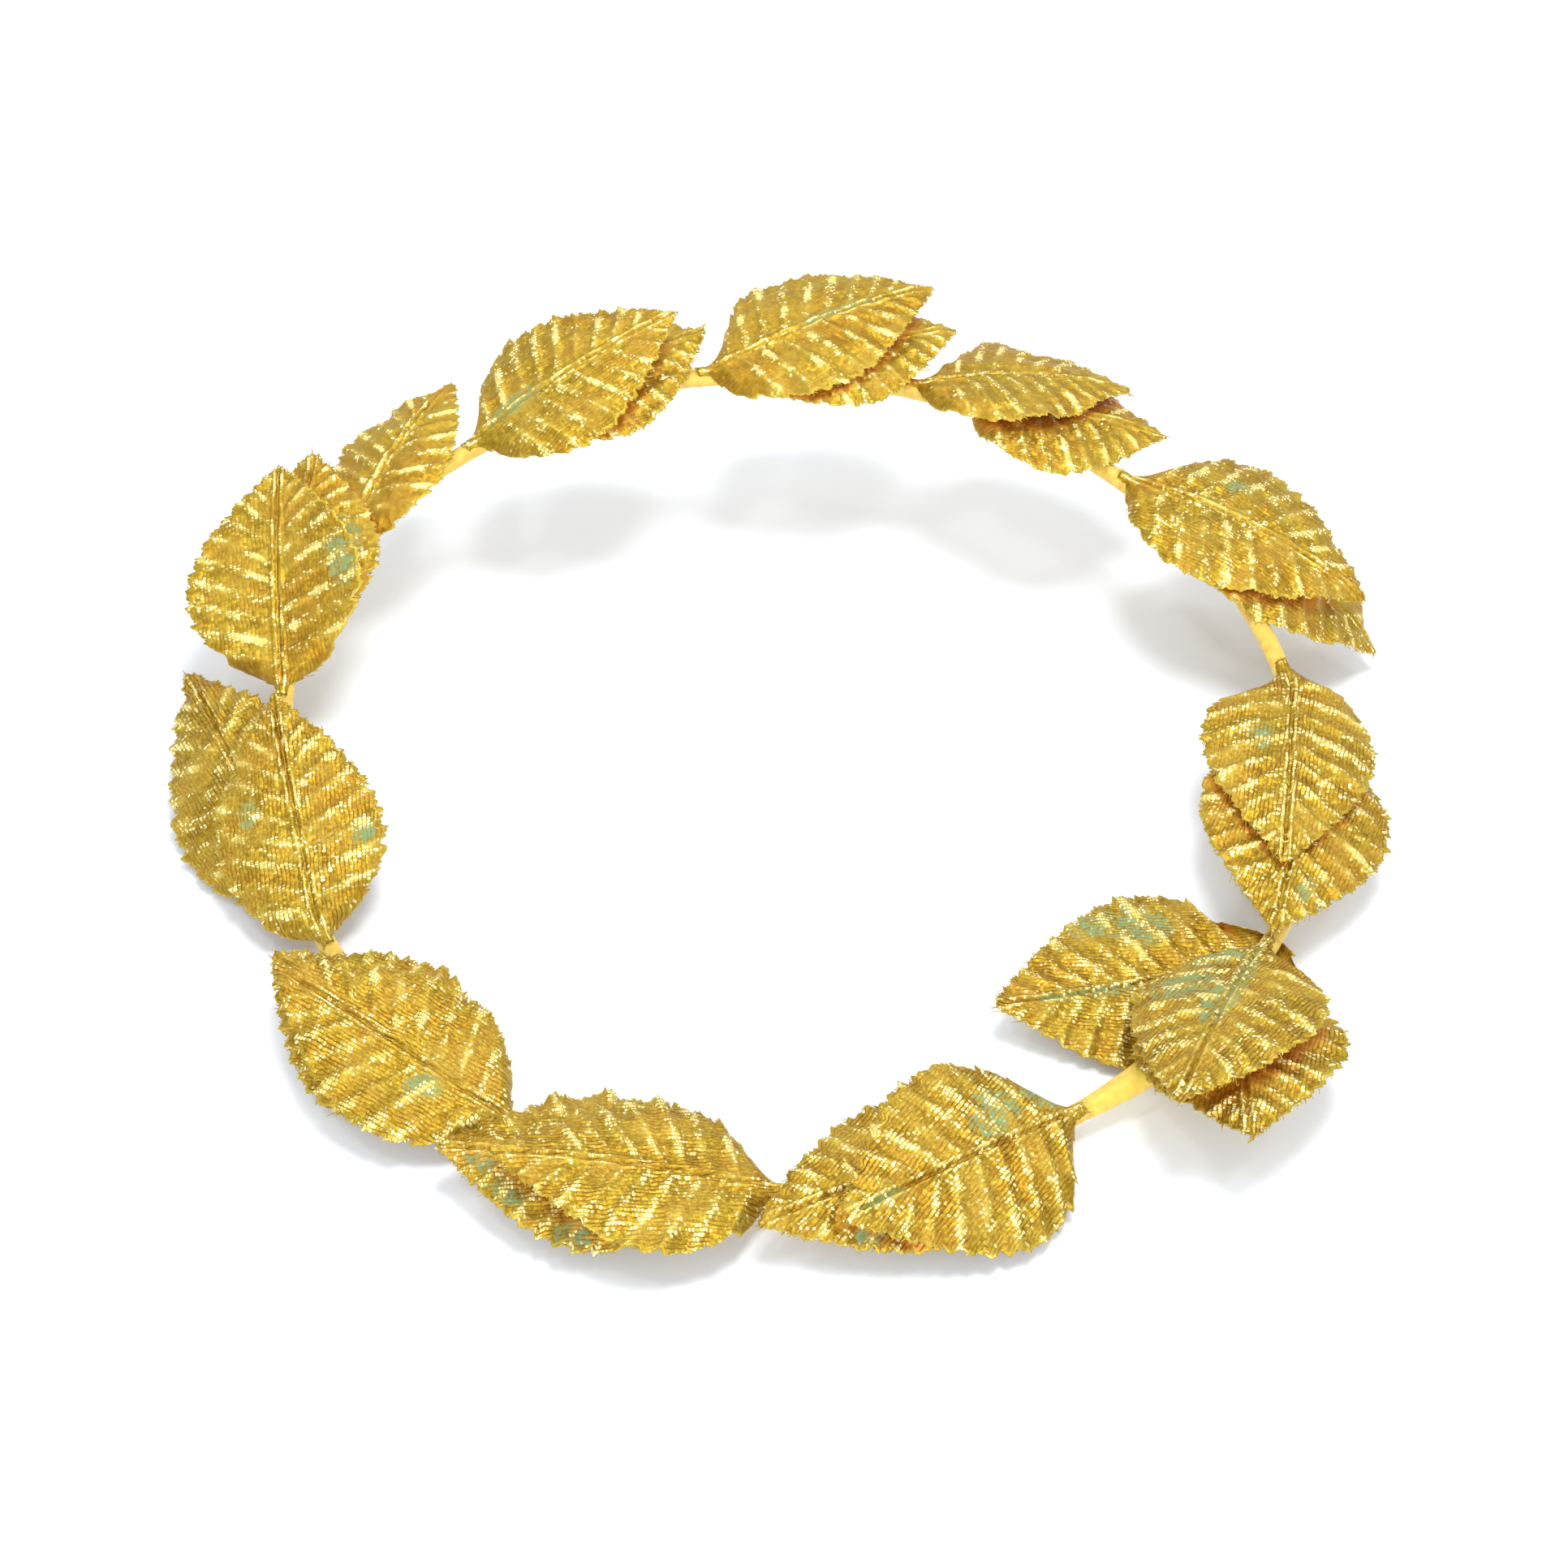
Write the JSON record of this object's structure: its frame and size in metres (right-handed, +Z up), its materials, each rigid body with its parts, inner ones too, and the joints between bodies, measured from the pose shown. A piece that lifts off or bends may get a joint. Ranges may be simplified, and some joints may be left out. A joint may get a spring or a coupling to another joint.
{
  "type": "laurel wreath crown",
  "caption": "Open hoop crown of pointed gold cloth leaves set in pairs on a thin bound stem, spliced at one side, for wearing round a head.",
  "frame": {"origin": "middle of the overall box in plan, on the plane that the wreath rests on", "axes": "+Z up, through the hoop; +Y to the raised back of the hoop; +X to the right as the picture looks at it from the front"},
  "size_m": [0.2328, 0.2224, 0.0495],
  "materials": {
    "stem": "crepe paper binding, pale gold, soft sheen",
    "splice": "crepe tape wound round the joined ends, pale gold",
    "leaf": "woven metallic gold cloth, pressed veins, bright glints"
  },
  "bodies": {
    "root": {"hoop_stem": "stem", "splice_wrap": "splice", "leaf_01_upper": "leaf", "leaf_01_lower": "leaf", "leaf_02_upper": "leaf", "leaf_02_lower": "leaf", "leaf_03_upper": "leaf", "leaf_03_lower": "leaf", "leaf_04_upper": "leaf", "leaf_04_lower": "leaf", "leaf_05_upper": "leaf", "leaf_05_lower": "leaf", "leaf_06_upper": "leaf", "leaf_07_upper": "leaf", "leaf_07_lower": "leaf", "leaf_08_upper": "leaf", "leaf_08_lower": "leaf", "leaf_09_upper": "leaf", "leaf_09_lower": "leaf", "leaf_10_upper": "leaf", "leaf_10_lower": "leaf", "leaf_11_upper": "leaf", "leaf_11_lower": "leaf", "leaf_12_upper": "leaf", "leaf_12_lower": "leaf", "leaf_12_inner": "leaf"}
  },
  "joints": []
}
